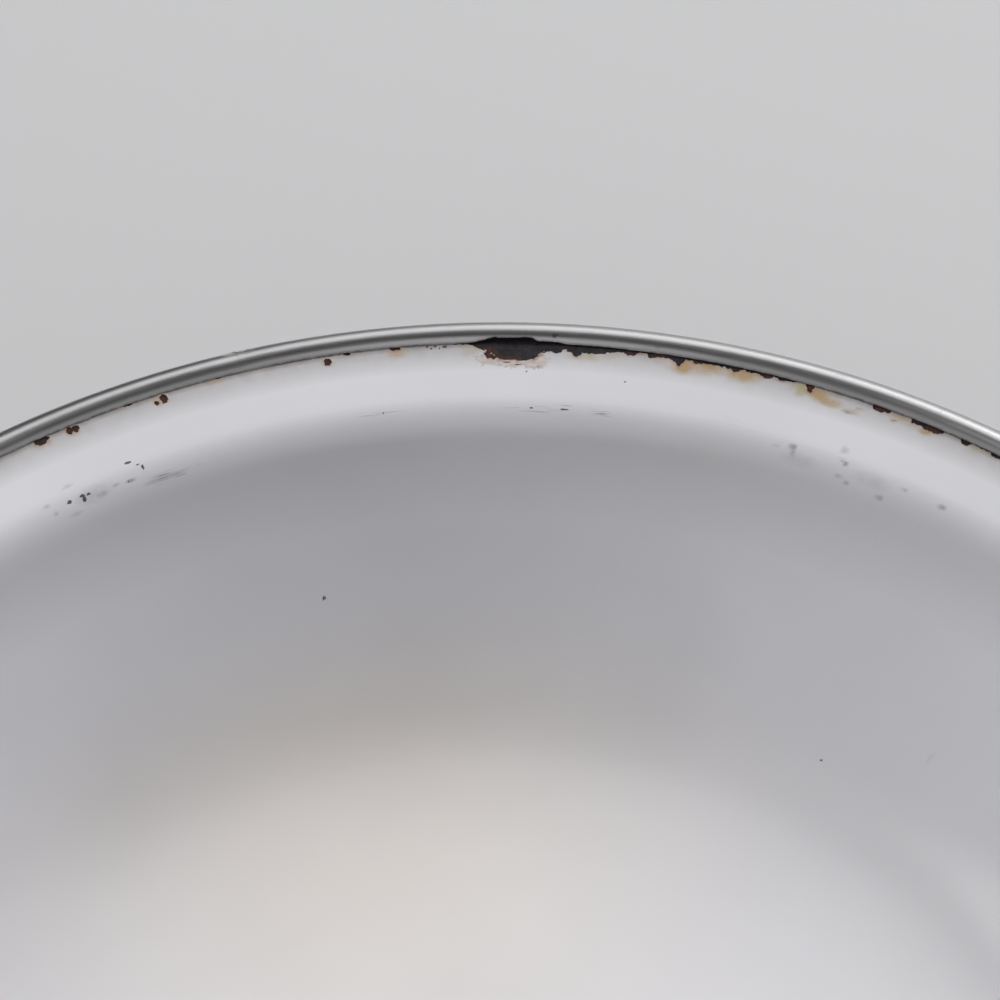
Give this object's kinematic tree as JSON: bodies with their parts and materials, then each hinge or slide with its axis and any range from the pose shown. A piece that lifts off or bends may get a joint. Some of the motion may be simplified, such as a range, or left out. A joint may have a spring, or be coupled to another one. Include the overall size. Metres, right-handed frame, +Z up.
{
  "type": "enamel basin bowl",
  "caption": "Round shallow white enamel basin with a wide sloping lip, a bright rolled metal rim band and chipped enamel under it; holds water or food on a table.",
  "frame": {"origin": "middle of the flat base, on the table that the basin stands on", "axes": "+Z up along the basin's axis, +Y towards the most chipped side of the rim, +X to the right when that side is far away"},
  "size_m": [0.36, 0.36, 0.07],
  "materials": {
    "bare_steel": "rusted where it shows in the chips",
    "ground_enamel": "black, glossy, broken at its edges",
    "white_enamel": "glossy, a little worn, with tan stains by the rim",
    "band_metal": "satin"
  },
  "bodies": {
    "root": {"steel_bowl": "bare_steel", "inside_ground_coat": "ground_enamel", "inside_white_coat": "white_enamel", "outside_ground_coat": "ground_enamel", "outside_white_coat": "white_enamel", "rim_band": "band_metal"}
  },
  "joints": []
}
